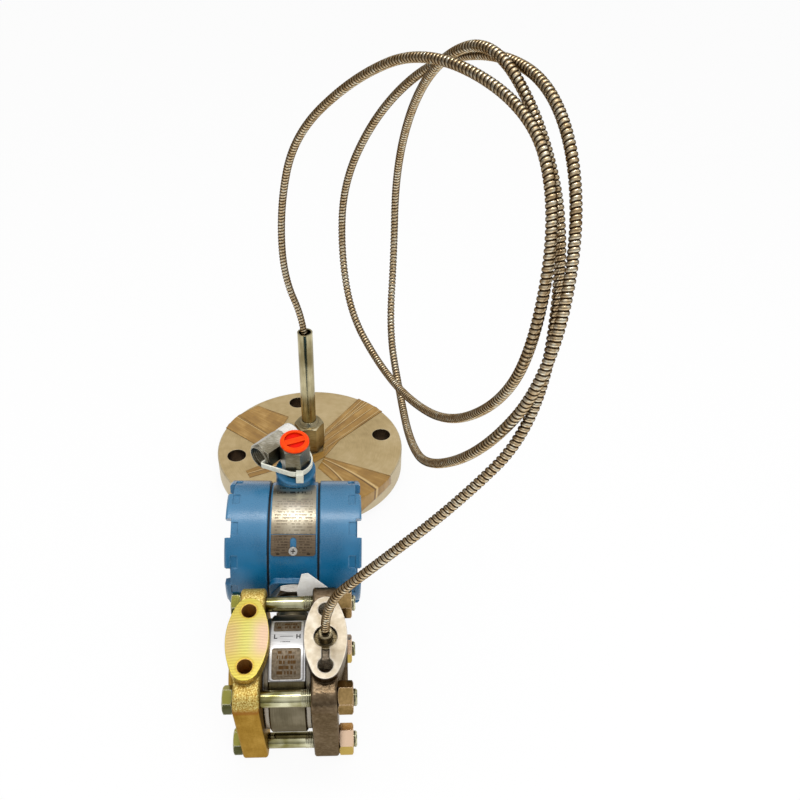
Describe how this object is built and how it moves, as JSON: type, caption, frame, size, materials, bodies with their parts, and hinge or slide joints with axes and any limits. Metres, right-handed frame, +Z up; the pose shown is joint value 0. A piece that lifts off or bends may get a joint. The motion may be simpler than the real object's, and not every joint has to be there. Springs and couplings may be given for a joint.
{
  "type": "pressure transmitter with remote seal",
  "caption": "Differential-pressure transmitter with a blue electronics housing, bolted process flanges and a flanged remote seal on a looped armoured capillary.",
  "frame": {"origin": "bottom centre of the box round the rigid pieces, without the capillary", "axes": "+X from the low to the high side, +Y from the process flanges to the remote seal, +Z up"},
  "size_m": [0.2485, 0.4377, 0.4625],
  "materials": {
    "brown_cast": "rough cast, brown",
    "gold_cast": "rough cast, yellow passivated",
    "yellow_zinc": "yellow zinc plated",
    "stainless": "machined",
    "white_gasket": "matt",
    "label_foil": "satin foil",
    "tag_paper": "matt",
    "blue_paint": "semi-gloss paint",
    "black_rubber": "matt",
    "plate_steel": "bright",
    "nickel": "nickel plated",
    "orange_plastic": "gloss",
    "nylon": "satin",
    "black_plastic": "matt",
    "green_board": "satin",
    "seal_steel": "turned, warm",
    "armour": "interlocked strip"
  },
  "bodies": {
    "base": {"process_flange_high": "brown_cast", "process_flange_low": "gold_cast", "flange_bolts": "yellow_zinc", "flange_nuts": "yellow_zinc", "sensor_module": "stainless", "neck_lock_nut": "stainless", "isolating_diaphragm_low": "stainless", "isolating_diaphragm_high": "stainless", "process_gasket_low": "white_gasket", "process_gasket_high": "white_gasket", "module_label": "label_foil", "neck_tag": "tag_paper", "seal_flange": "seal_steel", "seal_body": "stainless", "seal_diaphragm": "stainless", "seal_block": "seal_steel", "support_tube": "stainless", "tube_ferrule": "stainless", "capillary_fitting": "stainless", "capillary": "armour"},
    "housing": {"housing_body": "blue_paint", "nameplate": "plate_steel", "adjust_plate_screw": "stainless", "adjust_screws": "stainless", "conduit_adapter": "nickel", "shipping_plug": "orange_plastic", "rear_conduit_plug": "nickel", "spare_adapter": "nickel", "cable_tie": "nylon", "terminal_block": "black_plastic", "terminal_screws": "nickel", "circuit_boards": "green_board", "board_standoffs": "nickel"},
    "circuit_ring": {"circuit_cover_seal": "black_rubber"},
    "circuit_cover": {"circuit_cover": "blue_paint"},
    "terminal_ring": {"terminal_cover_seal": "black_rubber"},
    "terminal_cover": {"terminal_cover": "blue_paint"},
    "adjust_plate": {"adjust_plate": "plate_steel"}
  },
  "joints": [
    {"name": "housing_swivel", "type": "hinge", "parent": "base", "child": "housing", "pos_m": [-0.0061, -0.1663, 0.05255], "axis": [0, 0.9853, 0.1711], "range_deg": [-90, 90]},
    {"name": "circuit_cover_advance", "type": "slide", "parent": "housing", "child": "circuit_ring", "axis": [0.9996, 0.0051, -0.0292], "range_m": [0, 0.0101]},
    {"name": "circuit_cover_turn", "type": "hinge", "parent": "circuit_ring", "child": "circuit_cover", "pos_m": [-0.0061, -0.05349, 0.07214], "axis": [0.9996, 0.0051, -0.0292], "range_deg": [0, 1800]},
    {"name": "terminal_cover_advance", "type": "slide", "parent": "housing", "child": "terminal_ring", "axis": [-0.9996, -0.0051, 0.0292], "range_m": [0, 0.0101]},
    {"name": "terminal_cover_turn", "type": "hinge", "parent": "terminal_ring", "child": "terminal_cover", "pos_m": [-0.0061, -0.05349, 0.07214], "axis": [-0.9996, -0.0051, 0.0292], "range_deg": [0, 1800]},
    {"name": "adjust_plate_slide", "type": "hinge", "parent": "housing", "child": "adjust_plate", "pos_m": [-0.0061, -0.05349, 0.07214], "axis": [0.9996, 0.0051, -0.0292], "range_deg": [0, 9]}
  ],
  "couplings": [
    {"joint": "circuit_cover_advance", "follows": "circuit_cover_turn", "m_per_rad": 0.00031831},
    {"joint": "terminal_cover_advance", "follows": "terminal_cover_turn", "m_per_rad": 0.00031831}
  ]
}
